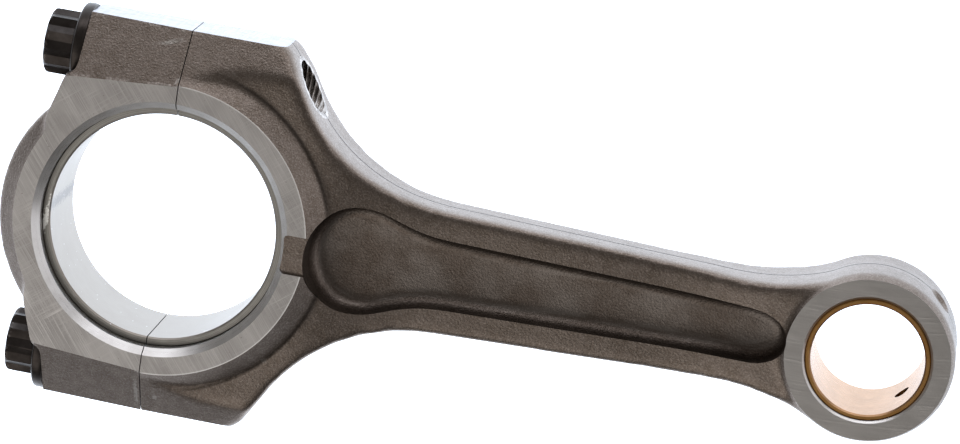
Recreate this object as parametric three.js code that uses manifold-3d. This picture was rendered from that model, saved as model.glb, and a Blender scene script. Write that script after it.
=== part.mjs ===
// Connecting rod with a bolted bearing cap, split bearing shells and a bushed small end.
// Millimetres, +Z up. Every piece is drawn about the crankpin axis at half thickness, with +X towards
// the small end and +Z along the bores; the finished group is then moved so that its origin is the
// centre of its footprint.

import * as THREE from 'three';
import { mergeVertices } from 'three/addons/utils/BufferGeometryUtils.js';
import Module from 'manifold-3d';

const wasm = await Module();
wasm.setup();

// ---- driving dimensions ----

const centreDistance = 140;
const fitGap = 0.3; // clearance left between pieces that touch

const bigEnd = {
  halfWidth: 12.5,
  housingRadius: 24.2,
  mouthChamfer: 1.4,
  faceRadius: 29.3, // outer edge of the machined thrust face
  creaseRadius: 32.3, // where the hub's flank meets the forging
  creaseHeight: 9.2,
  crownRadius: 33, // widest part of the forged hub, seen as the cap's crown
  crownHeight: 5,
  crownArcRadius: 29, // the crown's ends fall away on a tighter arc, drawn about a point beyond the axis
  crownArcX: -4,
  slotHalfWidth: 3.9, // unmachined oil slot across the thrust face, beam side
  slotDepth: 0.8,
};

const bolt = {
  pitchOffset: 31, // distance of each bolt axis from the crankpin axis
  shankRadius: 4.5,
  tipX: 20,
  tipChamfer: 0.9,
  seatX: -20.5, // spot face on the cap
  seatRadius: 9.2, // the spot facer's own radius, cut into the crown beside the seat
  flangeRadius: 8.8,
  flangeThickness: 2.6,
  headRadius: 6.6, // across the points of the twelve-point head
  headEndX: -29,
  headChamfer: 1.1,
  dimpleRadius: 3.2,
  dimpleDepth: 1.2,
};

const boss = {
  halfHeight: 39, // side flats, measured from the rod's centreline
  slopeStart: 28.3, // where the forged face starts to fall away from the thrust face
  edgeHeight: 5.5, // half thickness left at the side flats
  endX: 17.6,
};

const sleeve = { outerRadius: 5.5, halfLength: 5 };

const shell = { innerRadius: 22.6, halfWidth: 9.25, edgeChamfer: 0.4 };

const smallEnd = {
  halfWidth: 10,
  boreRadius: 12.2,
  mouthChamfer: 0.5,
  faceRadius: 16,
  rimRadius: 16.8,
  rimHeight: 8.4, // where the rim's bevel ends
  neckHeight: 9, // half thickness of the forging where it meets the rim
};

const bush = { innerRadius: 11, halfWidth: 9.7, edgeChamfer: 0.4 };

const oilHole = { radius: 1.65, mouthRadius: 3.1, mouthDepth: 1.3, angles: [Math.PI / 4, -Math.PI / 4] };

const web = { halfThickness: 2.3 };

// ---- outlines ----

const point = (x, y) => new THREE.Vector2(x, y);

const curveSteps = 8;
const facets = { bigEnd: 72, smallEnd: 56, bolt: 32, hole: 20 };

// Closes a line of points drawn above the X axis with its own mirror image.
function mirrored(upper) {
  const lower = upper.filter((p) => p.y > 1e-6).map((p) => point(p.x, -p.y));
  return [...upper, ...lower.reverse()];
}

// Outline of the whole forging seen along the bores: cap crown, bolt bosses, beam and small end.
function forgingOutline() {
  const crownEnd = THREE.MathUtils.degToRad(148);
  const rimStart = THREE.MathUtils.degToRad(110);
  const seatFillet = 2;
  const inside = 0.15; // the round ends stop just inside the hubs that are joined on
  const rimRadius = smallEnd.rimRadius - inside;
  const path = new THREE.Path();
  path.moveTo(-bigEnd.faceRadius + inside, 0);
  path.absarc(0, 0, bigEnd.faceRadius - inside, Math.PI, crownEnd, true);
  path.quadraticCurveTo(-25.6, 17.3, -25.1, 19);
  path.lineTo(bolt.seatX - seatFillet, 27.4);
  path.quadraticCurveTo(bolt.seatX, 28, bolt.seatX, 30);
  path.lineTo(bolt.seatX, boss.halfHeight);
  path.lineTo(boss.endX, boss.halfHeight);
  path.quadraticCurveTo(19.9, boss.halfHeight, 21.2, 36);
  path.lineTo(26, 27.4);
  path.bezierCurveTo(32, 18.7, 42, 12.5, 56, 12.1);
  path.lineTo(108, 10.4);
  path.bezierCurveTo(118, 9.6, 127, 11.2, centreDistance + rimRadius * Math.cos(rimStart),
    rimRadius * Math.sin(rimStart));
  path.absarc(centreDistance, 0, rimRadius, rimStart, 0, true);
  return mirrored(path.getPoints(curveSteps));
}

// Half thickness of the forging along its length, as an outline in X and Z.
function lengthwiseOutline() {
  const path = new THREE.Path();
  path.moveTo(-bigEnd.crownRadius - 1, 0);
  path.lineTo(-bigEnd.crownRadius - 1, bigEnd.halfWidth);
  path.lineTo(1, bigEnd.halfWidth);
  path.bezierCurveTo(12, 11, 20, 9.6, 27, 9.3);
  path.bezierCurveTo(36, 8.8, 38, 6, 62, 6);
  path.lineTo(98, 6);
  path.bezierCurveTo(112, 6.1, 118, 8.9, 128, smallEnd.neckHeight);
  path.lineTo(centreDistance + smallEnd.rimRadius + 1, smallEnd.neckHeight);
  path.lineTo(centreDistance + smallEnd.rimRadius + 1, 0);
  return mirrored(path.getPoints(curveSteps));
}

// Half thickness of the forging across its width, as an outline in Y and Z.
function crosswiseOutline() {
  return [
    point(boss.halfHeight + 1, 0),
    point(boss.halfHeight + 1, boss.edgeHeight),
    point(boss.halfHeight, boss.edgeHeight),
    point(boss.slopeStart, bigEnd.halfWidth),
    point(-boss.slopeStart, bigEnd.halfWidth),
    point(-boss.halfHeight, boss.edgeHeight),
    point(-boss.halfHeight - 1, boss.edgeHeight),
    point(-boss.halfHeight - 1, -boss.edgeHeight),
    point(-boss.halfHeight, -boss.edgeHeight),
    point(-boss.slopeStart, -bigEnd.halfWidth),
    point(boss.slopeStart, -bigEnd.halfWidth),
    point(boss.halfHeight, -boss.edgeHeight),
    point(boss.halfHeight + 1, -boss.edgeHeight),
  ];
}

// The pocket in each face of the beam: a wide lobe behind the hub, a long taper and a round end.
function pocketOutline() {
  const path = new THREE.Path();
  path.moveTo(29, 0);
  path.bezierCurveTo(29, 6, 33, 10.8, 38.6, 10.8);
  path.bezierCurveTo(45, 10.8, 47, 7.1, 58, 7);
  path.lineTo(116, 5.5);
  path.bezierCurveTo(121.2, 5.4, 124, 3, 124, 0);
  return mirrored(path.getPoints(curveSteps));
}

// Twelve-point head: two hexagons turned 30 degrees from each other.
function twelvePointOutline(radius) {
  const valleyRadius = (radius * Math.cos(Math.PI / 6)) / Math.cos(Math.PI / 12);
  const corners = [];
  for (let i = 0; i < 24; i++) {
    const angle = (i * Math.PI) / 12;
    const reach = i % 2 === 0 ? radius : valleyRadius;
    corners.push(point(reach * Math.cos(angle), reach * Math.sin(angle)));
  }
  return corners;
}

// ---- solids ----

// Turns a closed geometry into a solid that can be joined and cut, with its faces pointing out.
function solid(geometry) {
  const bare = geometry.clone();
  bare.deleteAttribute('normal');
  bare.deleteAttribute('uv');
  const merged = mergeVertices(bare);
  const positions = merged.attributes.position.array;
  const triangles = [];
  let volume = 0;
  const a = new THREE.Vector3();
  const b = new THREE.Vector3();
  const c = new THREE.Vector3();
  for (let i = 0; i < merged.index.count; i += 3) {
    const [p, q, r] = [merged.index.getX(i), merged.index.getX(i + 1), merged.index.getX(i + 2)];
    if (p === q || q === r || r === p) continue;
    triangles.push(p, q, r);
    a.fromArray(positions, 3 * p);
    b.fromArray(positions, 3 * q);
    c.fromArray(positions, 3 * r);
    volume += a.dot(b.cross(c));
  }
  if (volume < 0) triangles.reverse();
  return new wasm.Manifold(new wasm.Mesh({
    numProp: 3,
    vertProperties: new Float32Array(positions),
    triVerts: new Uint32Array(triangles),
  }));
}

function extruded(outline, length) {
  return new THREE.ExtrudeGeometry(new THREE.Shape(outline), { depth: length, bevelEnabled: false });
}

// An outline in X and Y, from one height to another.
function plate(outline, fromZ, toZ) {
  return solid(extruded(outline, toZ - fromZ).translate(0, 0, fromZ));
}

// An outline in X and Z, standing across the whole width.
function lengthwiseSlab(outline) {
  const reach = boss.halfHeight + 2;
  return solid(extruded(outline, 2 * reach).rotateX(Math.PI / 2).translate(0, reach, 0));
}

// An outline in Y and Z, standing along the whole length.
function crosswiseSlab(outline) {
  const geometry = extruded(outline, 2 * centreDistance);
  geometry.rotateY(Math.PI / 2);
  geometry.rotateX(Math.PI / 2);
  return solid(geometry.translate(-centreDistance / 2, 0, 0));
}

// A profile of [radius, height] pairs turned about the vertical axis.
function turned(profile, segments) {
  const points = profile.map(([radius, height]) => point(radius, height));
  return new THREE.LatheGeometry(points, segments).rotateX(Math.PI / 2);
}

function turnedSolid(profile, segments, x = 0) {
  return solid(turned(profile, segments).translate(x, 0, 0));
}

// A profile of [radius, x] pairs turned about a line along X.
function turnedAlongX(profile, segments, y) {
  return solid(turned(profile, segments).rotateY(Math.PI / 2).translate(0, y, 0));
}

function boreAlongX(radius, fromX, toX, y) {
  const geometry = new THREE.CylinderGeometry(radius, radius, toX - fromX, facets.bolt);
  geometry.rotateZ(Math.PI / 2);
  return solid(geometry.translate((fromX + toX) / 2, y, 0));
}

// A hollow ring profile with a chamfer on each of its four edges.
function ringProfile(innerRadius, outerRadius, halfWidth, chamfer) {
  return [
    [innerRadius + chamfer, -halfWidth],
    [outerRadius - chamfer, -halfWidth],
    [outerRadius, -halfWidth + chamfer],
    [outerRadius, halfWidth - chamfer],
    [outerRadius - chamfer, halfWidth],
    [innerRadius + chamfer, halfWidth],
    [innerRadius, halfWidth - chamfer],
    [innerRadius, -halfWidth + chamfer],
    [innerRadius + chamfer, -halfWidth],
  ];
}

// A bore with a chamfered mouth at both ends, as the tool that cuts it.
function boreCutter(radius, halfWidth, chamfer, segments, x) {
  const past = 1;
  return turnedSolid([
    [0, -halfWidth - past],
    [radius + chamfer + past, -halfWidth - past],
    [radius, -halfWidth + chamfer],
    [radius, halfWidth - chamfer],
    [radius + chamfer + past, halfWidth + past],
    [0, halfWidth + past],
  ], segments, x);
}

function hub(profile, segments, x) {
  const lowerHalf = profile.map(([radius, height]) => [radius, -height]).reverse();
  return turnedSolid([...lowerHalf, ...profile], segments, x);
}

// Everything on one side of the parting plane: side is +1 for the rod and -1 for the cap.
function partingBlock(side) {
  const length = 200;
  const box = new THREE.BoxGeometry(length, 120, 60);
  return solid(box.translate(side * (length / 2 + fitGap / 2), 0, 0));
}

// ---- the forging, machined as one piece and then split into rod and cap ----

// What the hub is kept inside: the tighter arc round the crown, and everything on the beam side of it.
function crownLimit() {
  const height = 2 * bigEnd.halfWidth + 2;
  const arc = new THREE.CylinderGeometry(bigEnd.crownArcRadius, bigEnd.crownArcRadius, height, facets.bigEnd);
  arc.rotateX(Math.PI / 2).translate(bigEnd.crownArcX, 0, 0);
  const beamSide = new THREE.BoxGeometry(60, 80, height).translate(18, 0, 0);
  return solid(arc).add(solid(beamSide));
}

function forgedBlank() {
  const bigEndHub = hub([
    [bigEnd.crownRadius, bigEnd.crownHeight],
    [bigEnd.creaseRadius, bigEnd.creaseHeight],
    [bigEnd.faceRadius, bigEnd.halfWidth],
    [0, bigEnd.halfWidth],
  ], facets.bigEnd, 0).intersect(crownLimit());
  const smallEndHub = hub([
    [smallEnd.rimRadius, smallEnd.rimHeight],
    [smallEnd.faceRadius, smallEnd.halfWidth],
    [0, smallEnd.halfWidth],
  ], facets.smallEnd, centreDistance);
  return plate(forgingOutline(), -bigEnd.halfWidth, bigEnd.halfWidth)
    .intersect(lengthwiseSlab(lengthwiseOutline()))
    .intersect(crosswiseSlab(crosswiseOutline()))
    .add(bigEndHub)
    .add(smallEndHub);
}

function pockets() {
  const upper = plate(pocketOutline(), web.halfThickness, bigEnd.halfWidth + 1);
  const lower = plate(pocketOutline(), -bigEnd.halfWidth - 1, -web.halfThickness);
  return upper.add(lower);
}

// The slot is cut into both thrust faces, from the chamfer of the bore to the edge of the face.
function oilSlots() {
  const length = 10;
  const floor = bigEnd.halfWidth - bigEnd.slotDepth;
  const height = 2;
  const slot = new THREE.BoxGeometry(length, 2 * bigEnd.slotHalfWidth, height);
  slot.translate(bigEnd.housingRadius + length / 2 + 0.2, 0, floor + height / 2);
  const opposite = slot.clone().translate(0, 0, -2 * (floor + height / 2));
  return solid(slot).add(solid(opposite));
}

function boltHoles() {
  const radius = bolt.shankRadius + fitGap;
  const reach = boss.endX + 15;
  return boreAlongX(radius, bolt.seatX - 1, reach, bolt.pitchOffset)
    .add(boreAlongX(radius, bolt.seatX - 1, reach, -bolt.pitchOffset));
}

function boltSeats() {
  const outside = -bigEnd.crownRadius - 5;
  return boreAlongX(bolt.seatRadius, outside, bolt.seatX, bolt.pitchOffset)
    .add(boreAlongX(bolt.seatRadius, outside, bolt.seatX, -bolt.pitchOffset));
}

function sleeveHoles() {
  const radius = sleeve.outerRadius + fitGap;
  const halfLength = sleeve.halfLength + fitGap;
  return boreAlongX(radius, -halfLength, halfLength, bolt.pitchOffset)
    .add(boreAlongX(radius, -halfLength, halfLength, -bolt.pitchOffset));
}

// Oil holes run out through the far side of the small end, each with a countersunk mouth on the rim.
function oilHoles() {
  const drill = oilHole.angles.map((angle) => {
    const start = bush.innerRadius - 2;
    const end = smallEnd.rimRadius + 1;
    const hole = new THREE.CylinderGeometry(oilHole.radius, oilHole.radius, end - start, facets.hole);
    hole.translate(0, (start + end) / 2, 0);
    const depth = oilHole.mouthDepth + 1;
    const flare = (depth / oilHole.mouthDepth) * (oilHole.mouthRadius - oilHole.radius);
    const mouth = new THREE.CylinderGeometry(oilHole.radius + flare, oilHole.radius, depth, facets.hole);
    mouth.translate(0, smallEnd.rimRadius - oilHole.mouthDepth + depth / 2, 0);
    return [hole, mouth].map((geometry) => {
      geometry.rotateZ(angle - Math.PI / 2);
      return solid(geometry.translate(centreDistance, 0, 0));
    });
  });
  return drill.flat().reduce((joined, next) => joined.add(next));
}

function crankpinBore() {
  return boreCutter(bigEnd.housingRadius, bigEnd.halfWidth, bigEnd.mouthChamfer, facets.bigEnd, 0);
}

function pinBore() {
  const { boreRadius, halfWidth, mouthChamfer } = smallEnd;
  return boreCutter(boreRadius, halfWidth, mouthChamfer, facets.smallEnd, centreDistance);
}

const machinedForging = forgedBlank()
  .subtract(pockets())
  .subtract(crankpinBore())
  .subtract(pinBore())
  .subtract(oilSlots())
  .subtract(boltSeats())
  .subtract(boltHoles())
  .subtract(sleeveHoles())
  .subtract(oilHoles());

// ---- bearing shells, bush, sleeves and bolts ----

function bearingShell(side) {
  const outerRadius = bigEnd.housingRadius - fitGap;
  const profile = ringProfile(shell.innerRadius, outerRadius, shell.halfWidth, shell.edgeChamfer);
  return turnedSolid(profile, facets.bigEnd).intersect(partingBlock(side));
}

function pinBush() {
  const outerRadius = smallEnd.boreRadius - fitGap;
  const profile = ringProfile(bush.innerRadius, outerRadius, bush.halfWidth, bush.edgeChamfer);
  return turnedSolid(profile, facets.smallEnd, centreDistance).subtract(oilHoles());
}

function dowelSleeve(y) {
  const inner = bolt.shankRadius + fitGap;
  const profile = ringProfile(inner, sleeve.outerRadius, sleeve.halfLength, 0.2);
  return turnedAlongX(profile, facets.bolt, y);
}

function capBolt(y) {
  const flangeX = bolt.seatX - fitGap;
  const headX = flangeX - bolt.flangeThickness;
  const shankAndFlange = turnedAlongX([
    [0, bolt.headEndX + bolt.headChamfer + 1],
    [bolt.shankRadius, bolt.headEndX + bolt.headChamfer + 1],
    [bolt.shankRadius, headX],
    [bolt.flangeRadius - 0.6, headX],
    [bolt.flangeRadius, headX + 0.6],
    [bolt.flangeRadius, flangeX],
    [bolt.shankRadius, flangeX],
    [bolt.shankRadius, bolt.tipX - bolt.tipChamfer],
    [bolt.shankRadius - bolt.tipChamfer, bolt.tipX],
    [0, bolt.tipX],
  ], facets.bolt, y);
  const points = extruded(twelvePointOutline(bolt.headRadius), headX - bolt.headEndX + 1);
  points.rotateY(Math.PI / 2).translate(bolt.headEndX, y, 0);
  const headEnvelope = turnedAlongX([
    [0, bolt.headEndX],
    [bolt.headRadius - bolt.headChamfer, bolt.headEndX],
    [bolt.headRadius, bolt.headEndX + bolt.headChamfer],
    [bolt.headRadius, headX + 1],
    [0, headX + 1],
  ], facets.bolt, y);
  const dimple = boreAlongX(bolt.dimpleRadius, bolt.headEndX - 1, bolt.headEndX + bolt.dimpleDepth, y);
  return solid(points).intersect(headEnvelope).add(shankAndFlange).subtract(dimple);
}

// ---- the assembly ----

const finishes = {
  forging: { color: '#4b4640', roughness: 0.62, metalness: 0.85 },
  boltBlack: { color: '#1c1b1a', roughness: 0.38, metalness: 0.8 },
  bearing: { color: '#b9b9b4', roughness: 0.3, metalness: 1 },
  bronze: { color: '#b07a3c', roughness: 0.35, metalness: 1 },
  sleeveSteel: { color: '#77756f', roughness: 0.35, metalness: 1 },
};

function piece(name, shape, finish) {
  const result = shape.getMesh();
  const geometry = new THREE.BufferGeometry();
  geometry.setAttribute('position', new THREE.BufferAttribute(result.vertProperties, 3));
  geometry.setIndex(new THREE.BufferAttribute(result.triVerts, 1));
  geometry.computeVertexNormals();
  const mesh = new THREE.Mesh(geometry, new THREE.MeshStandardMaterial(finish));
  mesh.name = name;
  return mesh;
}

const assembly = new THREE.Group();
assembly.add(
  piece('rod_body', machinedForging.intersect(partingBlock(1)), finishes.forging),
  piece('bearing_cap', machinedForging.intersect(partingBlock(-1)), finishes.forging),
  piece('rod_side_shell', bearingShell(1), finishes.bearing),
  piece('cap_side_shell', bearingShell(-1), finishes.bearing),
  piece('pin_bush', pinBush(), finishes.bronze),
);
for (const [suffix, side] of [['upper', 1], ['lower', -1]]) {
  const y = side * bolt.pitchOffset;
  assembly.add(piece(`dowel_sleeve_${suffix}`, dowelSleeve(y), finishes.sleeveSteel));
  assembly.add(piece(`cap_bolt_${suffix}`, capBolt(y), finishes.boltBlack));
}

const leftEnd = -bigEnd.crownRadius;
const rightEnd = centreDistance + smallEnd.rimRadius;
assembly.position.set(-(leftEnd + rightEnd) / 2, 0, bigEnd.halfWidth);

export default assembly;
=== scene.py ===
import math

import bpy
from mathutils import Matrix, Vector


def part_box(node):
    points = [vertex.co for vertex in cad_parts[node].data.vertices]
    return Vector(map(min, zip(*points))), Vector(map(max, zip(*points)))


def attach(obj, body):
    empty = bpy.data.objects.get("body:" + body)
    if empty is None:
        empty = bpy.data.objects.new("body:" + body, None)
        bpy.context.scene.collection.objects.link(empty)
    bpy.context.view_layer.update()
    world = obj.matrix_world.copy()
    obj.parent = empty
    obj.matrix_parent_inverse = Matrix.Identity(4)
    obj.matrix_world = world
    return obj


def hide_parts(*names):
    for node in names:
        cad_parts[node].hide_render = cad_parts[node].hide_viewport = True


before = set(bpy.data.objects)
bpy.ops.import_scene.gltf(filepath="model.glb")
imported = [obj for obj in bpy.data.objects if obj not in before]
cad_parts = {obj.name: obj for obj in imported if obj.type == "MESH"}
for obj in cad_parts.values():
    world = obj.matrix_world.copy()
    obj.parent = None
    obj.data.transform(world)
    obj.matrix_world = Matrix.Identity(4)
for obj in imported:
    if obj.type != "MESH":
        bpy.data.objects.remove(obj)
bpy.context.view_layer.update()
print("frame loaded")

# pieces are modelled in millimetres about the crankpin axis and brought into the frame at the end
mm = 0.001
shellLow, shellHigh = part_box("cap_side_shell")[0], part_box("rod_side_shell")[1]
bushLow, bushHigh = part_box("pin_bush")
rodLow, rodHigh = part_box("rod_body")
crankpin = Vector(((shellLow.x + shellHigh.x) / 2, 0, (rodLow.z + rodHigh.z) / 2))
pinDistance = ((bushLow.x + bushHigh.x) / 2 - crankpin.x) / mm
halfWidth = (rodHigh.z - rodLow.z) / 2 / mm
bossHeight = rodHigh.y / mm
partingGap = 0.2


def hexColour(code):
    channels = [int(code[i:i + 2], 16) / 255 for i in (1, 3, 5)]
    return [c / 12.92 if c < 0.04045 else ((c + 0.055) / 1.055) ** 2.4 for c in channels] + [1]


# --- small modelling helpers ---

def activate(piece):
    bpy.ops.object.select_all(action="DESELECT")
    piece.select_set(True)
    bpy.context.view_layer.objects.active = piece


def applyModifier(piece, kind, **settings):
    activate(piece)
    modifier = piece.modifiers.new(kind.title(), kind)
    for name, value in settings.items():
        setattr(modifier, name, value)
    bpy.ops.object.modifier_apply(modifier=modifier.name)


def combine(piece, tool, operation):
    applyModifier(piece, "BOOLEAN", object=tool, operation=operation, solver="MANIFOLD")
    bpy.data.objects.remove(tool)


def copied(piece, name):
    activate(piece)
    bpy.ops.object.duplicate()
    twin = bpy.context.object
    twin.name = name
    return twin


def bezier(start, handleA, handleB, end, steps=10):
    points = []
    for i in range(steps + 1):
        t = i / steps
        weights = ((1 - t) ** 3, 3 * t * (1 - t) ** 2, 3 * t * t * (1 - t), t ** 3)
        corners = (start, handleA, handleB, end)
        points.append(tuple(sum(w * c[axis] for w, c in zip(weights, corners)) for axis in (0, 1)))
    return points


def arc(centreX, radius, fromDegrees, toDegrees, steps):
    points = []
    for i in range(steps + 1):
        angle = math.radians(fromDegrees + (toDegrees - fromDegrees) * i / steps)
        points.append((centreX + radius * math.cos(angle), radius * math.sin(angle)))
    return points


def mirrored(upper):
    clean = [p for i, p in enumerate(upper) if i == 0 or math.dist(p, upper[i - 1]) > 1e-4]
    return clean + [(x, -y) for x, y in reversed(clean) if y > 1e-6]


def drawnSolid(outline, low, high, plane="XY"):
    bpy.ops.object.select_all(action="DESELECT")
    bpy.ops.mesh.primitive_circle_add(vertices=len(outline), fill_type="NGON")
    piece = bpy.context.object
    for vertex, (x, y) in zip(piece.data.vertices, outline):
        vertex.co = (x, y, low)
    bpy.ops.object.mode_set(mode="EDIT")
    bpy.ops.mesh.select_all(action="SELECT")
    bpy.ops.mesh.extrude_region_move(TRANSFORM_OT_translate={"value": (0, 0, high - low)})
    bpy.ops.mesh.select_all(action="SELECT")
    bpy.ops.mesh.normals_make_consistent(inside=False)
    bpy.ops.object.mode_set(mode="OBJECT")
    if plane == "XZ":
        turnPiece(piece, (math.pi / 2, 0, 0))
    if plane == "YZ":
        turnPiece(piece, (math.pi / 2, 0, math.pi / 2))
    return piece


def turnPiece(piece, angles, move=(0, 0, 0)):
    activate(piece)
    piece.rotation_euler = angles
    piece.location = move
    bpy.ops.object.transform_apply(location=True, rotation=True, scale=False)


def turnedSolid(profile, steps=128, centre=(0, 0, 0), alongX=False):
    bpy.ops.object.select_all(action="DESELECT")
    bpy.ops.mesh.primitive_circle_add(vertices=len(profile), fill_type="NOTHING")
    piece = bpy.context.object
    for vertex, (radius, height) in zip(piece.data.vertices, profile):
        vertex.co = (radius, 0, height)
    bpy.ops.object.mode_set(mode="EDIT")
    bpy.ops.mesh.select_all(action="SELECT")
    bpy.ops.mesh.spin(steps=steps, angle=2 * math.pi, center=(0, 0, 0), axis=(0, 0, 1))
    bpy.ops.mesh.select_all(action="SELECT")
    bpy.ops.mesh.remove_doubles(threshold=0.001)
    bpy.ops.mesh.normals_make_consistent(inside=False)
    bpy.ops.object.mode_set(mode="OBJECT")
    turnPiece(piece, (0, math.pi / 2 if alongX else 0, 0), centre)
    return piece


def block(low, high):
    bpy.ops.object.select_all(action="DESELECT")
    middle = [(a + b) / 2 for a, b in zip(low, high)]
    size = [b - a for a, b in zip(low, high)]
    bpy.ops.mesh.primitive_cube_add(size=1, location=middle, scale=size)
    bpy.ops.object.transform_apply(location=True, rotation=True, scale=True)
    return bpy.context.object


def bringIntoFrame(piece, name, body, slot, *nodes):
    piece.name = name
    piece.data.name = name
    piece.scale = (mm, mm, mm)
    piece.location = crankpin
    activate(piece)
    bpy.ops.object.transform_apply(location=True, rotation=True, scale=True)
    bpy.ops.object.shade_smooth_by_angle(angle=math.radians(28))
    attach(piece, body)
    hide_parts(*nodes)
    return piece


# --- the forging ---

forging = {
    "stock": 1.6,  # left on the faces that are machined later
    "faceRadius": 29.3,
    "creaseRadius": 33.2,  # where the hub's flank meets the shoulder
    "creaseHeight": 9.0,
    "crownArcRadius": 29.1,  # the crown's ends fall away on a tighter arc
    "crownArcX": -3.88,
    "smallFaceRadius": 16.0,
    "rimRadius": 16.8,
    "smallHalfWidth": 10.0,
    "neckHeight": 9.0,
    "beamHalfThickness": 6.1,
    "bossEdge": 5.5,
    "slopeStart": 29.0,
    "capSlopeTaper": 4.3,  # degrees that the cap's slope runs inwards, towards the bolt seats
    "flashWidth": 0.16,
    "flashDepth": 0.12,
    "webHalfThickness": 2.3,
    "pocketFilletTop": 5.6,
    "pocketFilletWidth": 3.3,
    "coarseVoxel": 0.75,
    "fineVoxel": 0.55,
    "edgeSmoothing": 14,
    "skinSmoothing": 5,
    "gridTurn": 24,  # degrees, so that no edge runs along the remesh grid and comes out wavy
}


def forgingOutline():
    seat = -20.5 - forging["stock"]
    side = bossHeight + forging["stock"]
    rim = forging["rimRadius"] - 0.1
    rimStart = (pinDistance + rim * math.cos(math.radians(110)), rim * math.sin(math.radians(110)))
    upper = arc(0, forging["faceRadius"] - 0.3, 180, 148, 10)
    upper += [(-25.4, 17.6), (-25.1, 19), (-22.6, 27.2)]
    upper += [(seat, 29), (seat, side), (17.7, side)]
    upper += bezier((18.2, 39.2), (19.7, 39), (20.7, 37.2), (21.5, 35.6), 5)
    upper += [(25.9, 28)]
    upper += bezier((26.2, 27.6), (32.2, 18.9), (42, 12.8), (56, 12.35), 16)
    upper += bezier((108, 10.65), (118, 9.8), (127, 11.5), rimStart, 12)
    upper += arc(pinDistance, rim, 110, 0, 16)
    return mirrored(upper)


def lengthwiseOutline():
    top = halfWidth + forging["stock"]
    end = pinDistance + 25
    beam = forging["beamHalfThickness"]
    upper = [(-40, 0), (-40, top), (-1.5, top)]
    upper += bezier((0, 13), (4, 10.9), (8, 9.5), (17, 9.35), 8)
    upper += bezier((28, 9.2), (36, 8.9), (40, beam), (62, beam), 12)
    upper += bezier((98, beam - 0.1), (112, beam), (118, 8.9), (128, forging["neckHeight"]), 12)
    upper += [(end, forging["neckHeight"]), (end, 0)]
    return mirrored(upper)


def crosswiseOutline():
    slope = (halfWidth - forging["bossEdge"]) / (bossHeight - forging["slopeStart"])
    outer = bossHeight + forging["stock"]
    outerHeight = forging["bossEdge"] - slope * forging["stock"]
    top = halfWidth + forging["stock"]
    inner = forging["slopeStart"] - forging["stock"] / slope
    quarter = [(outer, outerHeight), (inner, top)]
    left = [(-y, z) for y, z in reversed(quarter)]
    return quarter + left + [(y, -z) for y, z in reversed(left)] + [(y, -z) for y, z in reversed(quarter)]


def hubProfile(points):
    return [(r, -z) for r, z in reversed(points)] + points


def pocketTool():
    upper = bezier((28.8, 0), (28.8, 6), (33, 10.8), (38.6, 10.8), 10)
    upper += bezier((39, 10.8), (45, 10.8), (47, 7.1), (58, 7.0), 12)
    upper += bezier((116, 5.45), (121.2, 5.4), (124.1, 3.1), (124.1, 0), 8)
    filletTop = forging["pocketFilletTop"]
    tool = drawnSolid(mirrored(upper), 14, filletTop)
    # the floor is drawn in and down in steps, which leaves the wide fillet of a forging die
    bpy.ops.object.mode_set(mode="EDIT")
    bpy.ops.mesh.select_mode(type="FACE")
    bpy.ops.mesh.select_all(action="DESELECT")
    bpy.ops.object.mode_set(mode="OBJECT")
    for face in tool.data.polygons:
        face.select = face.center.z < filletTop + 0.1 and abs(face.normal.z) > 0.9
    bpy.ops.object.mode_set(mode="EDIT")
    floor = forging["webHalfThickness"]
    reach, steps = filletTop - floor, 6
    for i in range(steps):
        fromAngle, toAngle = (math.radians(90 * j / steps) for j in (i, i + 1))
        bpy.ops.mesh.inset(
            thickness=forging["pocketFilletWidth"] * (math.cos(fromAngle) - math.cos(toAngle)),
            depth=reach * (math.sin(toAngle) - math.sin(fromAngle)))
    bpy.ops.mesh.select_all(action="SELECT")
    bpy.ops.mesh.normals_make_consistent(inside=False)
    bpy.ops.object.mode_set(mode="OBJECT")
    return tool


def bigHub():
    top = halfWidth + forging["stock"]
    crease, face = forging["creaseRadius"], forging["faceRadius"]
    profile = [(crease, 4), (crease, forging["creaseHeight"]), (face, halfWidth), (27.6, top), (0, top)]
    hub = turnedSolid(hubProfile(profile), 96)
    beamSide = block((-12, -50, -20), (50, 50, 20))
    arcRadius = forging["crownArcRadius"]
    crown = turnedSolid([(0, -20), (arcRadius, -20), (arcRadius, 20), (0, 20)], 96,
                        (forging["crownArcX"], 0, 0))
    combine(crown, beamSide, "UNION")
    combine(hub, crown, "INTERSECT")
    return hub


def smallHub():
    top = forging["smallHalfWidth"]
    stock = forging["stock"]
    profile = [(forging["rimRadius"], 8.0), (forging["smallFaceRadius"], top)]
    profile += [(15.3, top + stock), (0, top + stock)]
    return turnedSolid(hubProfile(profile), 80, (pinDistance, 0, 0))


def capSlopeTool(side, face):
    slope = math.atan2(halfWidth - forging["bossEdge"], bossHeight - forging["slopeStart"])
    taper = math.radians(forging["capSlopeTaper"])
    low, high = sorted((-5 * side, 40 * side)), sorted((0, 20 * face))
    tool = block((-45, low[0], high[0]), (5, low[1], high[1]))
    start = (0, side * forging["slopeStart"], face * halfWidth)
    turnPiece(tool, (-slope * side * face, 0, taper * side), start)
    combine(tool, block((-60, -60, -60), (0, 60, 60)), "INTERSECT")
    return tool


def flashGroove(blank):
    # the line where the two forging dies met, as a fine groove round the side walls
    core = copied(blank, "core")
    applyModifier(core, "DISPLACE", strength=-forging["flashDepth"], mid_level=0)
    half = forging["flashWidth"] / 2
    ring = block((-60, -60, -half), (200, 60, half))
    combine(ring, core, "DIFFERENCE")
    combine(blank, ring, "DIFFERENCE")


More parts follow.
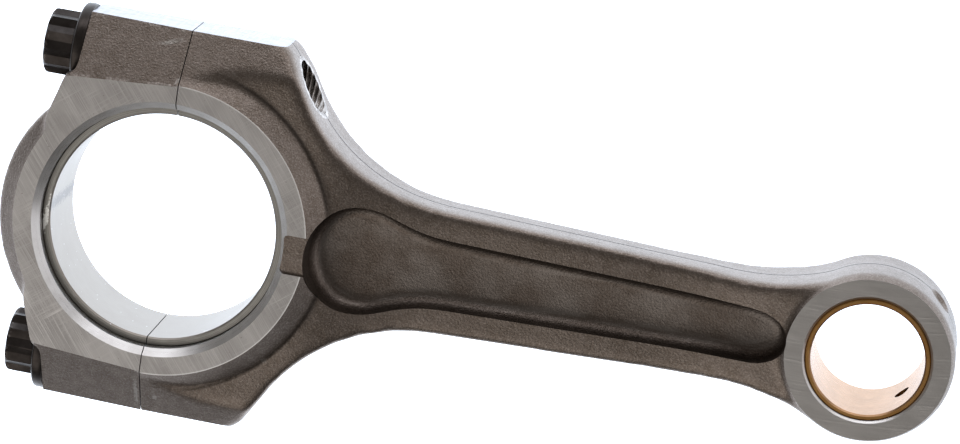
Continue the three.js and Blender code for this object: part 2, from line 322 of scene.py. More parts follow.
def reskinned(piece, voxel, smoothing):
    turn = math.radians(forging["gridTurn"])
    turnPiece(piece, (0, 0, turn))
    applyModifier(piece, "REMESH", mode="VOXEL", voxel_size=voxel)
    applyModifier(piece, "SMOOTH", factor=0.5, iterations=smoothing)
    turnPiece(piece, (0, 0, -turn))


def forgedBlank():
    far = 60
    blank = drawnSolid(forgingOutline(), -halfWidth - 2, halfWidth + 2)
    combine(blank, drawnSolid(lengthwiseOutline(), -far, far, "XZ"), "INTERSECT")
    combine(blank, drawnSolid(crosswiseOutline(), -far, 200, "YZ"), "INTERSECT")
    combine(blank, smallHub(), "UNION")
    reskinned(blank, forging["coarseVoxel"], forging["edgeSmoothing"])
    # the hubs are joined after the beam's edges are rounded, so that their creases stay crisp
    combine(blank, bigHub(), "UNION")
    combine(blank, smallHub(), "UNION")
    for side in (1, -1):
        for face in (1, -1):
            combine(blank, capSlopeTool(side, face), "DIFFERENCE")
    reskinned(blank, forging["fineVoxel"], forging["skinSmoothing"])
    flashGroove(blank)
    upperPocket = pocketTool()
    lowerPocket = copied(upperPocket, "lowerPocket")
    turnPiece(lowerPocket, (math.pi, 0, 0))
    combine(blank, upperPocket, "DIFFERENCE")
    combine(blank, lowerPocket, "DIFFERENCE")
    return blank


thread = {"pitch": 1.0, "steps": 8}

machining = {
    "housingRadius": 24.2,
    "mouthChamfer": 1.4,
    "pinBore": 12.15,
    "pinChamfer": 0.45,
    "boltOffset": 31.0,
    "seatX": -20.5,
    "seatRadius": 9.3,
    "seatFillet": 0.9,
    "threadBore": 4.98,
    "threadDepth": 0.42,
    "capBore": 4.75,
    "sleeveBore": 5.6,
    "sleeveDepth": 5.3,
    "slotHalfWidth": 3.9,
    "slotDepth": 0.8,
    "oilBore": 1.65,
    "oilMouth": 3.1,
    "oilMouthDepth": 1.3,
}


def boreTool(radius, halfDepth, chamfer, centre, steps):
    past = 2
    return turnedSolid([
        (0, -halfDepth - past), (radius + chamfer + past, -halfDepth - past),
        (radius, -halfDepth + chamfer), (radius, halfDepth - chamfer),
        (radius + chamfer + past, halfDepth + past), (0, halfDepth + past)], steps, centre)


def machineForging(blank):
    m = machining
    smallTop = forging["smallHalfWidth"]
    for side in (1, -1):
        thrust = sorted((side * halfWidth, side * 20))
        combine(blank, block((-40, -50, thrust[0]), (60, 50, thrust[1])), "DIFFERENCE")
        rim = sorted((side * smallTop, side * 20))
        combine(blank, block((110, -30, rim[0]), (170, 30, rim[1])), "DIFFERENCE")
        flat = sorted((side * bossHeight, side * 50))
        combine(blank, block((-40, flat[0], -20), (40, flat[1], 20)), "DIFFERENCE")
        seat = [(m["seatX"], 45)]
        seat += bezier((m["seatX"], 30.5), (m["seatX"], 28.6), (-21.2, 28), (-22.5, 27.4), 8)
        seat += [(-30, 24), (-45, 24), (-45, 45)]
        if side < 0:
            seat = [(x, -y) for x, y in seat]
        combine(blank, drawnSolid(seat, -20, 20), "DIFFERENCE")
        y = side * m["boltOffset"]
        spot = [(0, -45), (m["seatRadius"], -45)]
        spot += [(m["seatRadius"] - m["seatFillet"] * (1 - math.cos(a)),
                  m["seatX"] - m["seatFillet"] * (1 - math.sin(a)))
                 for a in (math.radians(15 * i) for i in range(7))]
        spot += [(0, m["seatX"])]
        combine(blank, turnedSolid(spot, 96, (0, y, 0), alongX=True), "DIFFERENCE")
        hole = [(0, -30), (m["capBore"], -30), (m["capBore"], -m["sleeveDepth"]),
                (m["sleeveBore"], -m["sleeveDepth"]), (m["sleeveBore"], m["sleeveDepth"]),
                (0, m["sleeveDepth"])]
        combine(blank, turnedSolid(hole, 64, (0, y, 0), alongX=True), "DIFFERENCE")
        combine(blank, tappedHole(y), "DIFFERENCE")
        slot = drawnSolid(slotOutline(), *sorted((side * (halfWidth - m["slotDepth"]), side * 16)))
        combine(blank, slot, "DIFFERENCE")
    combine(blank, boreTool(m["housingRadius"], halfWidth, m["mouthChamfer"], (0, 0, 0), 192), "DIFFERENCE")
    combine(blank, boreTool(m["pinBore"], smallTop, m["pinChamfer"], (pinDistance, 0, 0), 128), "DIFFERENCE")
    for angle in (45, -45):
        combine(blank, oilDrill(angle), "DIFFERENCE")
    return blank


def cutThread(piece, low, high, crest, depth):
    # drops each turned ring point into a helical flank, so that neighbouring rings form one thread
    for vertex in piece.data.vertices:
        x, y, z = vertex.co
        reach = math.hypot(y, z)
        if low - 0.01 < x < high + 0.01 and reach > 1:
            turn = (x / thread["pitch"] - math.atan2(z, y) / (2 * math.pi)) % 1
            cut = depth * min(1, max(0, 1.25 * abs(2 * turn - 1) - 0.12))
            shrink = min(crest - cut, reach) / reach
            vertex.co = (x, y * shrink, z * shrink)


def threadRings(low, high):
    count = int((high - low) / thread["pitch"] * thread["steps"])
    return [low + i * thread["pitch"] / thread["steps"] for i in range(count + 1)]


def tappedHole(y):
    m = machining
    start, end = m["sleeveDepth"] - 0.2, 36
    rings = threadRings(start + 0.8, end)
    profile = [(0, start), (m["threadBore"], start)]
    profile += [(m["threadBore"], x) for x in rings] + [(0, rings[-1])]
    tool = turnedSolid(profile, 64, alongX=True)
    cutThread(tool, rings[0], rings[-1], m["threadBore"], m["threadDepth"])
    turnPiece(tool, (0, 0, 0), (0, y, 0))
    return tool


def slotOutline():
    half, corner = machining["slotHalfWidth"], 0.9
    nearX, farX = 24.6, 31.5
    upper = [(nearX, 0)]
    upper += [(nearX, half - corner), (nearX + 0.3, half - 0.3), (nearX + corner, half)]
    upper += [(farX, half), (farX, 0)]
    return mirrored(upper)


def oilDrill(angle):
    m = machining
    surface = forging["rimRadius"]
    past = 2
    flare = (m["oilMouth"] - m["oilBore"]) / m["oilMouthDepth"]
    drill = turnedSolid([
        (0, 9), (m["oilBore"], 9), (m["oilBore"], surface - m["oilMouthDepth"]),
        (m["oilMouth"] + flare * past, surface + past), (0, surface + past)], 32)
    turnPiece(drill, (0, math.pi / 2, math.radians(angle)), (pinDistance, 0, 0))
    return drill


def halfOf(piece, side):
    low = (partingGap / 2, -60, -30) if side > 0 else (-60, -60, -30)
    high = (200, 60, 30) if side > 0 else (-partingGap / 2, 60, 30)
    combine(piece, block(low, high), "INTERSECT")
    return piece


rodForging = machineForging(forgedBlank())
capForging = halfOf(copied(rodForging, "capForging"), -1)
halfOf(rodForging, 1)
print("forging modelled", len(rodForging.data.polygons), len(capForging.data.polygons))


# --- bearings and bush ---

def ringProfile(inner, outer, halfDepth, innerChamfer, outerChamfer):
    return [
        (inner + innerChamfer, -halfDepth), (outer - outerChamfer, -halfDepth),
        (outer, -halfDepth + outerChamfer), (outer, halfDepth - outerChamfer),
        (outer - outerChamfer, halfDepth), (inner + innerChamfer, halfDepth),
        (inner, halfDepth - innerChamfer), (inner, -halfDepth + innerChamfer)]


shell = {"inner": 22.6, "outer": 24.12, "halfDepth": 9.24, "innerChamfer": 0.3, "outerChamfer": 0.12}
bush = {"inner": 11.0, "outer": 12.08, "halfDepth": 9.7, "innerChamfer": 0.3, "outerChamfer": 0.25}
sleeve = {"inner": 4.8, "outer": 5.5, "halfDepth": 5.0, "innerChamfer": 0.25, "outerChamfer": 0.25}

wholeShell = turnedSolid(ringProfile(*shell.values()), 192)
capShell = halfOf(copied(wholeShell, "capShell"), -1)
rodShell = halfOf(wholeShell, 1)
pinBush = turnedSolid(ringProfile(*bush.values()), 128, (pinDistance, 0, 0))
for angle in (45, -45):
    combine(pinBush, oilDrill(angle), "DIFFERENCE")
sleeves = {}
for suffix, side in (("Upper", 1), ("Lower", -1)):
    profile = ringProfile(*sleeve.values())
    sleeves[suffix] = turnedSolid(profile, 64, (0, side * machining["boltOffset"], 0), alongX=True)
print("bearings modelled")


# --- bolts ---

bolt = {
    "radius": 4.5,
    "threadDepth": 0.55,
    "threadFrom": 1.5,
    "tip": 20.0,
    "tipChamfer": 1.0,
    "seatX": -20.55,
    "flangeRadius": 8.65,
    "flangeThickness": 2.65,
    "headRadius": 6.6,
    "headEnd": -29.0,
    "headChamfer": 1.0,
    "edgeRound": 0.14,
    "dimpleRadius": 3.1,
    "dimpleDepth": 1.3,
    "facets": 64,
}


def threadedShank():
    b = bolt
    rings = threadRings(b["threadFrom"], b["tip"])[:-1]
    neck = b["radius"] - b["threadDepth"] - 0.05
    plain = b["radius"] - 0.1
    profile = [(0, b["seatX"] - 4), (plain, b["seatX"] - 4)]
    profile += [(plain, b["threadFrom"] - 1.4), (neck, b["threadFrom"] - 0.9)]
    profile += [(min(b["radius"], b["radius"] - b["tipChamfer"] + b["tip"] - x), x) for x in rings]
    profile += [(b["radius"] - b["tipChamfer"], b["tip"]), (0, b["tip"])]
    shank = turnedSolid(profile, b["facets"], alongX=True)
    cutThread(shank, rings[0], rings[-1], b["radius"], b["threadDepth"])
    return shank


def capBolt():
    b = bolt
    headX = b["seatX"] - b["flangeThickness"]
    valley = b["headRadius"] * math.cos(math.pi / 6) / math.cos(math.pi / 12)
    star = []
    for i in range(24):
        reach = valley if i % 2 else b["headRadius"]
        star.append((reach * math.cos(i * math.pi / 12), reach * math.sin(i * math.pi / 12)))
    head = drawnSolid(star, b["headEnd"], headX + 0.6, "YZ")
    c = b["headChamfer"]
    dome = [(0, b["headEnd"])]
    dome += [(b["headRadius"] - c + c * math.sin(a), b["headEnd"] + c * (1 - math.cos(a)))
             for a in (math.radians(15 * i) for i in range(7))]
    dome += [(b["headRadius"] + 1, headX + 1), (0, headX + 1)]
    combine(head, turnedSolid(dome, 96, alongX=True), "INTERSECT")
    dimple = [(0, b["headEnd"] - 1), (b["dimpleRadius"] + 0.3, b["headEnd"] - 0.3)]
    dimple += [(b["dimpleRadius"], b["headEnd"] + 0.3)]
    dimple += [(b["dimpleRadius"] - 0.4, b["headEnd"] + b["dimpleDepth"])]
    dimple += [(0, b["headEnd"] + b["dimpleDepth"] + 0.3)]
    combine(head, turnedSolid(dimple, 64, alongX=True), "DIFFERENCE")
    applyModifier(head, "BEVEL", width=b["edgeRound"], segments=2, limit_method="ANGLE",
                  angle_limit=math.radians(25))
    r = b["flangeRadius"]
    flange = [(0, headX - 0.25), (b["headRadius"] - 0.5, headX - 0.25)]
    flange += [(b["headRadius"] + 0.3, headX), (r - 0.8, headX + 0.25)]
    flange += [(r - 0.6 + 0.6 * math.sin(a), headX + 0.95 - 0.6 * math.cos(a))
               for a in (math.radians(20 * i) for i in range(1, 5))]
    flange += [(r, b["seatX"] - 0.5), (r - 0.15, b["seatX"] - 0.1), (r - 0.35, b["seatX"]), (0, b["seatX"])]
    piece = turnedSolid(flange, 96, alongX=True)
    combine(piece, threadedShank(), "UNION")
    combine(piece, head, "UNION")
    return piece


bolts = {"Upper": capBolt()}
bolts["Lower"] = copied(bolts["Upper"], "capBoltLower")
for suffix, side in (("Upper", 1), ("Lower", -1)):
    turnPiece(bolts[suffix], (0.06 * side, 0, 0), (0, side * machining["boltOffset"], 0))
print("bolts modelled", len(bolts["Upper"].data.polygons))


# --- placing ---

bringIntoFrame(rodForging, "rodForging", "rod", "forging", "rod_body")
bringIntoFrame(capForging, "capForging", "cap", "forging", "bearing_cap")
bringIntoFrame(rodShell, "rodShell", "rod", "bearing_shell", "rod_side_shell")
bringIntoFrame(capShell, "capShell", "cap", "bearing_shell", "cap_side_shell")
bringIntoFrame(pinBush, "pinBush", "rod", "bronze", "pin_bush")
for suffix in ("Upper", "Lower"):
    low = suffix.lower()
    bringIntoFrame(bolts[suffix], "capBolt" + suffix, "bolt_" + low, "bolt_black", "cap_bolt_" + low)
    bringIntoFrame(sleeves[suffix], "dowelSleeve" + suffix, "rod", "sleeve_steel", "dowel_sleeve_" + low)
print("pieces placed")


# --- materials ---

def newMaterial(name):
    material = bpy.data.materials.new(name)
    material.use_nodes = True
    material.node_tree.nodes.clear()
    return material


def addNode(tree, kind, settings=None, links=None):
    node = tree.nodes.new("ShaderNode" + kind)
    for name, value in (settings or {}).items():
        if isinstance(name, int) or name in node.inputs:
            node.inputs[name].default_value = value
        else:
            setattr(node, name, value)
    for name, source in (links or {}).items():
        tree.links.new(source, node.inputs[name])
    return node


def finishMaterial(material, shader):
    tree = material.node_tree
    addNode(tree, "OutputMaterial", links={"Surface": shader.outputs["BSDF"]})
    return material


def objectPlace(tree):
    return addNode(tree, "TexCoord").outputs["Object"]


def grain(tree, place, size, turn=0, **settings):
    # noise whose features measure size in mm, along and across a direction turned about the bores
    mapping = addNode(tree, "Mapping", {"vector_type": "TEXTURE", "Rotation": (0, 0, math.radians(turn)),
                                        "Scale": [s * mm for s in size]}, {"Vector": place})
    noise = addNode(tree, "TexNoise", {"Scale": 1.0, **settings}, {"Vector": mapping.outputs[0]})
    return noise.outputs["Fac"]


def level(tree, value, low, high, toLow=0.0, toHigh=1.0):
    return addNode(tree, "MapRange", {"From Min": low, "From Max": high, "To Min": toLow, "To Max": toHigh},
                   {"Value": value}).outputs["Result"]


def calculate(tree, operation, first, second):
    links = {i: v for i, v in enumerate((first, second)) if not isinstance(v, (int, float))}
    values = {i: v for i, v in enumerate((first, second)) if isinstance(v, (int, float))}
    return addNode(tree, "Math", {"operation": operation, **values}, links).outputs[0]


def tinted(tree, factor, below, above):
    # either colour may be a hex code or another node's colour
    settings, links = {}, {"Fac": factor}
    for name, colour in (("Color1", below), ("Color2", above)):
        if isinstance(colour, str):
            settings[name] = hexColour(colour)
        else:
            links[name] = colour
    return addNode(tree, "MixRGB", settings, links).outputs["Color"]


def distanceFrom(tree, place, x, y):
    flat = addNode(tree, "VectorMath", {"operation": "MULTIPLY", 1: (1, 1, 0)}, {0: place})
    settings = {"operation": "DISTANCE", 1: (crankpin.x + x * mm, crankpin.y + y * mm, 0)}
    return addNode(tree, "VectorMath", settings, {0: flat.outputs[0]}).outputs["Value"]


def turnedLines(tree, place, x, y, pitch):
    # lines left by a tool going round an axis along the bores: one value for each radius and height,
    # with two or three times the real feed of about 0.06 mm, which would be too fine to show
    height = partOf(tree, place, "Z")
    travel = calculate(tree, "ADD", distanceFrom(tree, place, x, y), height)
    feed = calculate(tree, "MULTIPLY", travel, 1 / (pitch * mm))
    settings = {"noise_dimensions": "1D", "Scale": 1.0, "Detail": 2}
    return addNode(tree, "TexNoise", settings, {"W": feed}).outputs["Fac"]


def lengthOf(tree, vector):
    return addNode(tree, "VectorMath", {"operation": "LENGTH"}, {0: vector}).outputs["Value"]


def partOf(tree, vector, axis):
    return addNode(tree, "SeparateXYZ", links={0: vector}).outputs[axis]


def markAt(tree, place, x, y, length, width, turn=0):
    # 1 in the middle of an oval patch on the part and 0 outside it, with a ragged edge
    mapping = addNode(tree, "Mapping", {"vector_type": "TEXTURE", "Rotation": (0, 0, math.radians(turn)),
                                        "Location": (crankpin.x + x * mm, crankpin.y + y * mm, 0),
                                        "Scale": (length * mm / 2, width * mm / 2, 1)}, {"Vector": place})
    flat = addNode(tree, "VectorMath", {"operation": "MULTIPLY", 1: (1, 1, 0)}, {0: mapping.outputs[0]})
    reach = lengthOf(tree, flat.outputs[0])
    rough = grain(tree, place, (0.6, 0.35, 0.6), turn, Detail=3)
    inside = calculate(tree, "SUBTRACT", rough, calculate(tree, "MULTIPLY", reach, 0.45))
    return level(tree, inside, 0.1, 0.3)


def bumped(tree, height, distance, strength=1.0):
    settings = {"Strength": strength, "Distance": distance * mm}
    return addNode(tree, "Bump", settings, {"Height": height}).outputs["Normal"]


def metal(material, colour, roughness, normal, **settings):
    links = {"Base Color": colour, "Roughness": roughness, "Normal": normal}
    uniform = {name: value for name, value in links.items() if isinstance(value, (float, str))}
    links = {name: value for name, value in links.items() if name not in uniform}
    uniform = {name: hexColour(value) if isinstance(value, str) else value for name, value in uniform.items()}
    shader = addNode(material.node_tree, "BsdfPrincipled", {"Metallic": 1.0, **uniform, **settings}, links)
    return finishMaterial(material, shader)


# hot-forged steel after shot blasting: dark brown oxide left in the hollows, bright dents where shot struck
def forgedSteel():
    material = newMaterial("shotBlastedForging")
    tree = material.node_tree
    place = objectPlace(tree)
    dents = grain(tree, place, (0.45, 0.45, 0.45), Detail=3, Roughness=0.6)
    mottle = grain(tree, place, (2.4, 2.4, 2.4), Detail=4, Roughness=0.65)
    patches = grain(tree, place, (22, 22, 22), Detail=2)
    oxide = tinted(tree, level(tree, patches, 0.38, 0.62), "#675c53", "#6e635a")
    colour = tinted(tree, level(tree, mottle, 0.35, 0.7), oxide, "#7a6f67")
    sparks = level(tree, grain(tree, place, (0.3, 0.3, 0.3), Detail=2), 0.48, 0.72)
    colour = tinted(tree, calculate(tree, "MULTIPLY", sparks, 0.4), colour, "#a39a92")
    # the pockets are darkened, partly with painted shade from their walls and partly with oxide left thicker
    # there, and every outer edge gets a painted highlight
    height = partOf(tree, place, "Z")
    away = calculate(tree, "ABSOLUTE", calculate(tree, "SUBTRACT", height, crankpin.z), 0)
    across = calculate(tree, "ABSOLUTE", partOf(tree, place, "Y"), 0)
    pocketShadeAndOxide = calculate(tree, "MULTIPLY", level(tree, away, 3.5 * mm, 5.2 * mm, 1, 0),
                       level(tree, across, 9.2 * mm, 10 * mm, 1, 0))
    # painted shade and thicker oxide together darken the pocket floors
    colour = tinted(tree, calculate(tree, "MULTIPLY", pocketShadeAndOxide, 0.5), colour, "#443b35")
    # painted highlight along every convex edge, standing in for the light a crisp edge catches, broken up by
    # the dents
    edgeHighlight = level(tree, addNode(tree, "NewGeometry").outputs["Pointiness"], 0.53, 0.6)
    edgeHighlight = calculate(tree, "MULTIPLY", edgeHighlight, level(tree, dents, 0.35, 0.6))
    colour = tinted(tree, calculate(tree, "MULTIPLY", edgeHighlight, 0.6), colour, "#b4aca5")
    rubbed = None
    for x, y, length, width, turn in ((-3.7, 36.4, 6.4, 1.1, 19), (-0.9, -34.4, 7.6, 1.1, 92),
                                      (-0.5, 29.9, 2.2, 0.7, 60), (3.0, -35.0, 1.6, 1.6, 0)):
        mark = markAt(tree, place, x, y, length, width, turn)
        rubbed = mark if rubbed is None else calculate(tree, "MAXIMUM", rubbed, mark)
    colour = tinted(tree, calculate(tree, "MULTIPLY", rubbed, 0.55), colour, "#a9a49d")
    # the trimmed flash leaves a band of fine lines along the side walls
    band = level(tree, away, 1.5 * mm, 4.5 * mm, 1, 0)
    streaks = grain(tree, place, (9, 9, 0.32), Detail=2)
    streaks = calculate(tree, "MULTIPLY", band, level(tree, streaks, 0.4, 0.65))
    colour = tinted(tree, calculate(tree, "MULTIPLY", streaks, 0.3), colour, "#a39d98")
    flash = level(tree, away, 0.15 * mm, 0.28 * mm, 1, 0)
    # and the crease at the foot of the hub is darkened with painted shade
    fromCrease = calculate(tree, "SUBTRACT", distanceFrom(tree, place, 0, 0), 33.1 * mm)
    crease = level(tree, calculate(tree, "ABSOLUTE", fromCrease, 0), 0.12 * mm, 0.5 * mm, 1, 0)
    shoulder = level(tree, partOf(tree, place, "X"),
                     crankpin.x + 5 * mm, crankpin.x + 12 * mm)
    shoulder = calculate(tree, "MULTIPLY", shoulder, level(tree, away, 7.6 * mm, 8.2 * mm))
    crease = calculate(tree, "MULTIPLY", calculate(tree, "MULTIPLY", crease, shoulder), 0.55)
    # painted shade in the crease, together with the dark flash line
    dark = calculate(tree, "MAXIMUM", crease, calculate(tree, "MULTIPLY", flash, 0.9))
    colour = tinted(tree, dark, colour, "#241f1c")
    surface = calculate(tree, "ADD", calculate(tree, "MULTIPLY", mottle, 0.4), dents)
    roughness = level(tree, dents, 0.3, 0.7, 0.44, 0.31)
    return metal(material, colour, roughness, bumped(tree, surface, 0.08))


# steel faced by a grinding wheel: pale, with crossed scratches that catch the light unevenly
def groundSteel():
    material = newMaterial("groundSteel")
    tree = material.node_tree
    place = objectPlace(tree)
    # real grinding marks are about 0.05 mm wide: these are three times that, so that they show
    first = level(tree, grain(tree, place, (12, 0.17, 3), -52, Detail=2), 0.46, 0.74)
    second = level(tree, grain(tree, place, (9, 0.17, 3), 38, Detail=2), 0.48, 0.74)
    where = level(tree, grain(tree, place, (7, 7, 7), Detail=2), 0.42, 0.6)
    hatch = calculate(tree, "MAXIMUM", first, calculate(tree, "MULTIPLY", second, where))
    clouds = grain(tree, place, (9, 5, 9), -50, Detail=3)
    colour = tinted(tree, level(tree, clouds, 0.35, 0.65), "#9d9996", "#aeaaa7")
    colour = tinted(tree, calculate(tree, "MULTIPLY", hatch, 0.36), colour, "#d6d3d0")
    pits = level(tree, grain(tree, place, (0.5, 0.5, 0.5), Detail=1), 0.72, 0.78)
    colour = tinted(tree, calculate(tree, "MULTIPLY", pits, 0.5), colour, "#6b645f")
    # a painted highlight runs along the edge where the face runs out over the forging, on the beam side only
    rim = level(tree, distanceFrom(tree, place, 0, 0), 29.0 * mm, 29.2 * mm)
    beamSide = level(tree, partOf(tree, place, "X"), crankpin.x, crankpin.x + mm)
    rim = calculate(tree, "MULTIPLY", rim, beamSide)
    colour = tinted(tree, calculate(tree, "MULTIPLY", rim, 0.7), colour, "#f0eeec")
    return metal(material, colour, level(tree, hatch, 0, 1, 0.42, 0.28), bumped(tree, hatch, 0.012))


# the small end is faced with one wide wheel, so its lines are long shallow arcs that hardly cross
def arcGroundSteel():
    material = newMaterial("arcGroundSteel")
    tree = material.node_tree
    place = objectPlace(tree)
    # the real marks are near 0.1 mm: these are coarser, so that they show
    settings = {"noise_dimensions": "1D", "Scale": 1 / (0.45 * mm), "Detail": 3, "Roughness": 0.6}
    radius = distanceFrom(tree, place, 128, 170)
    arcs = addNode(tree, "TexNoise", settings, {"W": radius}).outputs["Fac"]
    where = grain(tree, place, (8, 2.5, 8), -4, Detail=3)
    lines = calculate(tree, "MULTIPLY", level(tree, arcs, 0.4, 0.7), level(tree, where, 0.35, 0.65, 0.35, 1))
    colour = tinted(tree, level(tree, where, 0.35, 0.65), "#ada9a5", "#b9b5b1")
    colour = tinted(tree, calculate(tree, "MULTIPLY", lines, 0.35), colour, "#c4c0bc")
    return metal(material, colour, level(tree, lines, 0, 1, 0.4, 0.3), bumped(tree, lines, 0.012))


# bored and chamfered steel: tool lines run round the axis, a little brighter than the ground faces
def boredSteel(name, x):
    material = newMaterial(name)
    tree = material.node_tree
    place = objectPlace(tree)
    lines = turnedLines(tree, place, x, 0, 0.16)
    clouds = grain(tree, place, (5, 5, 5), Detail=3)
    colour = tinted(tree, level(tree, clouds, 0.35, 0.65), "#cbc8c5", "#dedcda")
    furrows = calculate(tree, "MULTIPLY", level(tree, lines, 0.35, 0.65), 0.35)
    colour = tinted(tree, furrows, colour, "#8f8b88")
    return metal(material, colour, level(tree, lines, 0.3, 0.7, 0.26, 0.38), bumped(tree, lines, 0.01))


# the split faces and the tapped holes: cut steel darkened by oil
def oiledSteel():
    material = newMaterial("oiledSteel")
    tree = material.node_tree
    place = objectPlace(tree)
    film = grain(tree, place, (1.5, 1.5, 1.5), Detail=4)
    colour = tinted(tree, level(tree, film, 0.35, 0.65), "#7d7772", "#b3ada8")
    return metal(material, colour, level(tree, film, 0.3, 0.7, 0.4, 0.25), bumped(tree, film, 0.01))


# milled side flats: bright, with faint feed marks
def milledSteel():
    material = newMaterial("milledSteel")
    tree = material.node_tree
    place = objectPlace(tree)
    feed = grain(tree, place, (0.5, 8, 8), Detail=2)
    smears = grain(tree, place, (3, 3, 1.5), Detail=4)
    colour = tinted(tree, level(tree, smears, 0.4, 0.6), "#9e9ea2", "#acacb0")
    colour = tinted(tree, level(tree, smears, 0.6, 0.68, 0, 0.5), colour, "#7d797c")
    return metal(material, colour, level(tree, feed, 0.3, 0.7, 0.3, 0.4), bumped(tree, feed, 0.01))


# black oxide on the alloy bolts: a thin brown-black skin with a satin oil sheen, worn pale on the edges
def blackOxide():
    material = newMaterial("blackOxide")
    tree = material.node_tree
    place = objectPlace(tree)
    skin = grain(tree, place, (0.5, 0.5, 0.5), Detail=3)
    smears = grain(tree, place, (2.5, 2.5, 2.5), Detail=3)
    # the outer end of each head is rubbed where the socket goes on
    end = level(tree, partOf(tree, place, "X"), crankpin.x - 28.9 * mm, crankpin.x - 28.0 * mm, 1, 0)
    chips = level(tree, grain(tree, place, (0.9, 0.9, 0.9), Detail=4, Roughness=0.7), 0.52, 0.62)
    worn = calculate(tree, "MULTIPLY", end, chips)
    colour = tinted(tree, level(tree, smears, 0.35, 0.65), "#37322f", "#433e3b")
    colour = tinted(tree, calculate(tree, "MULTIPLY", worn, 0.6), colour, "#9a948f")
    return metal(material, colour, level(tree, skin, 0.3, 0.7, 0.28, 0.4), bumped(tree, skin, 0.008))


# the shell's running surface: soft pale plating, almost white at a low angle, with a few nicks
def linerPlating():
    material = newMaterial("linerPlating")
    tree = material.node_tree
    place = objectPlace(tree)
    lines = turnedLines(tree, place, 0, 0, 0.3)
    haze = grain(tree, place, (6, 6, 6), Detail=3)
    nicks = level(tree, grain(tree, place, (1.1, 0.5, 0.5), 30, Detail=1), 0.77, 0.8)
    smudge = markAt(tree, place, -22.2, 0.4, 5, 2.6, 50)
    colour = tinted(tree, level(tree, haze, 0.35, 0.65), "#968e85", "#a39c94")
    colour = tinted(tree, calculate(tree, "MULTIPLY", level(tree, lines, 0.3, 0.7), 0.15), colour, "#737577")
    colour = tinted(tree, calculate(tree, "MULTIPLY", smudge, 0.5), colour, "#5c5d60")
    colour = tinted(tree, nicks, colour, "#e8e8ea")
    return metal(material, colour, level(tree, haze, 0.3, 0.7, 0.36, 0.46), bumped(tree, lines, 0.008))


# the shell's edge: steel backing seen end on, dull olive grey, with a smear of pale marking paint
def shellBacking():
    material = newMaterial("shellBacking")
    tree = material.node_tree
    place = objectPlace(tree)
    lines = turnedLines(tree, place, 0, 0, 0.12)
    film = grain(tree, place, (2, 2, 2), Detail=3)
    colour = tinted(tree, level(tree, lines, 0.35, 0.65), "#807d77", "#a19e98")
    paint = markAt(tree, place, -23.3, -2.4, 13, 1.6, 81)
    colour = tinted(tree, paint, colour, "#f0eee9")
    return metal(material, colour, level(tree, film, 0.3, 0.7, 0.32, 0.45), bumped(tree, lines, 0.01))


# sintered bronze bush: golden at the edge, and pale peach where the bore reflects the bright floor
def bushBronze(name, dark, pale):
    material = newMaterial(name)
    tree = material.node_tree
    place = objectPlace(tree)
    lines = turnedLines(tree, place, pinDistance, 0, 0.14)
    clouds = grain(tree, place, (3, 3, 3), Detail=3)
    pores = level(tree, grain(tree, place, (0.4, 0.4, 0.4), Detail=1), 0.74, 0.79)
    colour = tinted(tree, level(tree, clouds, 0.3, 0.7), dark, pale)
    colour = tinted(tree, calculate(tree, "MULTIPLY", pores, 0.5), colour, "#8a6544")
    return metal(material, colour, level(tree, lines, 0.3, 0.7, 0.25, 0.38), bumped(tree, lines, 0.008))


# hollow dowel sleeves: hardened and ground bright round their axis
def sleeveSteel():
    material = newMaterial("hardenedSleeveSteel")
    tree = material.node_tree
    place = objectPlace(tree)
    lines = grain(tree, place, (0.14, 6, 6), Detail=2)
    film = grain(tree, place, (2.5, 2.5, 2.5), Detail=3)
    colour = tinted(tree, level(tree, film, 0.35, 0.65), "#9c9894", "#bab7b3")
    return metal(material, colour, level(tree, lines, 0.3, 0.7, 0.22, 0.36), bumped(tree, lines, 0.01))


def dress(piece, *materials):
    piece.data.materials.clear()
    for material in materials:
        piece.data.materials.append(material)


forgingSkins = {
    "forged": forgedSteel(),
    "ground": groundSteel(),
    "arcGround": arcGroundSteel(),
    "housing": boredSteel("boredHousing", 0),
    "pinEye": boredSteel("boredPinEye", pinDistance),
    "milled": milledSteel(),
    "oiled": oiledSteel(),
}


def forgingSkin(x, y, z, normal):
    # a face is told from where it lies, because each machining step leaves its own plane or radius
    upright = abs(normal.z) > 0.999
    if upright and abs(abs(z) - halfWidth) < 0.02:
        return "ground"
    if upright and x > 110 and abs(abs(z) - forging["smallHalfWidth"]) < 0.02:
        return "arcGround"
    if abs(x) < partingGap and abs(normal.x) > 0.99:
        return "oiled"
    if abs(abs(y) - bossHeight) < 0.02 or (abs(normal.x) > 0.99 and abs(x - machining["seatX"]) < 0.05):
        return "milled"
    if math.hypot(x, y) < 25.7:
        return "housing"
    if math.hypot(x - pinDistance, y) < 12.7:
        return "pinEye"
    if math.hypot(abs(y) - machining["boltOffset"], z) < machining["sleeveBore"] + 0.02 and x < 30:
        return "oiled"
    return "forged"


def dressForging(piece):
    dress(piece, *forgingSkins.values())
    order = list(forgingSkins)
    for face in piece.data.polygons:
        face.material_index = order.index(forgingSkin(*(face.center - crankpin) / mm, face.normal))


def dressShell(piece):
    dress(piece, backing, liner)
    for face in piece.data.polygons:
        x, y, z = (face.center - crankpin) / mm
        face.material_index = 1 if math.hypot(x, y) < shell["inner"] + 0.2 else 0


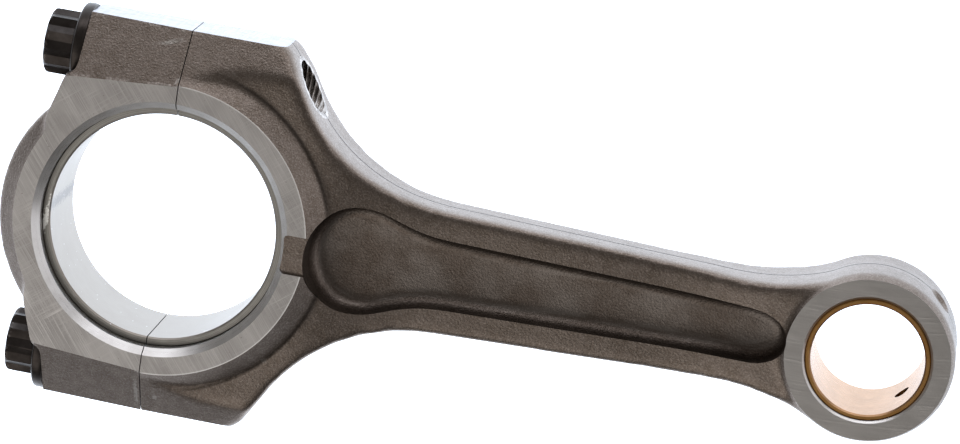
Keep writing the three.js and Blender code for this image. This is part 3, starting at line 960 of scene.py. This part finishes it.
backing, liner = shellBacking(), linerPlating()
dressForging(rodForging)
dressForging(capForging)
dressShell(rodShell)
dressShell(capShell)
dress(pinBush, bushBronze("bushEdgeBronze", "#a87c48", "#b98d57"),
      bushBronze("bushBoreBronze", "#a27f5e", "#b08b69"))
for face in pinBush.data.polygons:
    x, y, z = (face.center - crankpin) / mm
    face.material_index = 1 if math.hypot(x - pinDistance, y) < bush["inner"] + 0.2 else 0
boltSkin, sleeveSkin = blackOxide(), sleeveSteel()
for suffix in ("Upper", "Lower"):
    dress(bolts[suffix], boltSkin)
    dress(sleeves[suffix], sleeveSkin)
print("materials made")


# --- floor, light and camera ---

camera = {
    "place": (135.4, 188.1, 699.4),  # mm from the crankpin axis
    "turn": (-13.07, 8.225, 8.863),  # degrees about X, Y and Z
    "lens": 138.64,
    "sensor": 36.0,
}

lightTable = {
    "centre": (-0.02, 0, 0),  # metres
    "size": (0.14, 0.085, 1),
    "fade": (0.6, 1.7),  # where the glow starts and stops fading, in sizes from the centre
    "glow": (2.25, 0.75),
}

bpy.ops.object.select_all(action="DESELECT")
bpy.ops.mesh.primitive_plane_add(size=6)
floor = bpy.context.object
floor.name = "floor"
# a light table: the floor glows most under the part, and stays plain and pale all over
floorMaterial = newMaterial("lightTable")
floorTree = floorMaterial.node_tree
panel = addNode(floorTree, "Mapping", {"vector_type": "TEXTURE", "Location": lightTable["centre"],
                                       "Scale": lightTable["size"]}, {"Vector": objectPlace(floorTree)})
glow = level(floorTree, lengthOf(floorTree, panel.outputs[0]), *lightTable["fade"], *lightTable["glow"])
floorShader = addNode(floorTree, "BsdfPrincipled",
                      {"Base Color": hexColour("#e8e8ea"), "Roughness": 0.9, "Specular IOR Level": 0.1,
                       "Emission Color": hexColour("#e6f1ff")}, {"Emission Strength": glow})
finishMaterial(floorMaterial, floorShader)
dress(floor, floorMaterial)

world = bpy.data.worlds.new("studio")
bpy.context.scene.world = world
world.use_nodes = True
# the walls are dim, and dimmest behind the near side, so the slopes facing it stay dark
background = world.node_tree.nodes["Background"]
background.inputs["Color"].default_value = hexColour("#fffdfb")
towards = addNode(world.node_tree, "TexCoord").outputs["Generated"]
dimmed = level(world.node_tree, partOf(world.node_tree, towards, "Y"), -0.8, 0.2, 0.1, 0.24)
world.node_tree.links.new(dimmed, background.inputs["Strength"])


def softbox(name, place, aim, size, power, colour):
    bpy.ops.object.light_add(type="AREA", location=place)
    light = bpy.context.object
    light.name = name
    light.data.shape = "RECTANGLE"
    light.data.size, light.data.size_y = size
    light.data.energy = power
    light.data.color = hexColour(colour)[:3]
    light.rotation_euler = (Vector(aim) - Vector(place)).to_track_quat("-Z", "Y").to_euler()
    return light


softbox("windowSide", (0.0, 1.3, 0.36), (0, 0, 0.02), (2.0, 0.5), 6.5, "#f4f5fb")
softbox("endSide", (1.25, 0.3, 0.42), (0, 0, 0.02), (1.6, 0.7), 3.5, "#f6f6fb")
softbox("overhead", (-0.68, -0.98, 1.4), (0, 0, 0), (1.8, 1.5), 9.5, "#fffcf9")

view = bpy.data.cameras.new("camera")
viewer = bpy.data.objects.new("camera", view)
bpy.context.scene.collection.objects.link(viewer)
viewer.location = crankpin + Vector(camera["place"]) * mm
viewer.rotation_euler = [math.radians(a) for a in camera["turn"]]
view.lens = camera["lens"]
view.sensor_width = camera["sensor"]
view.clip_start, view.clip_end = 0.01, 20
bpy.context.scene.camera = viewer
bpy.context.scene.view_settings.view_transform = "Standard"
print("studio ready")
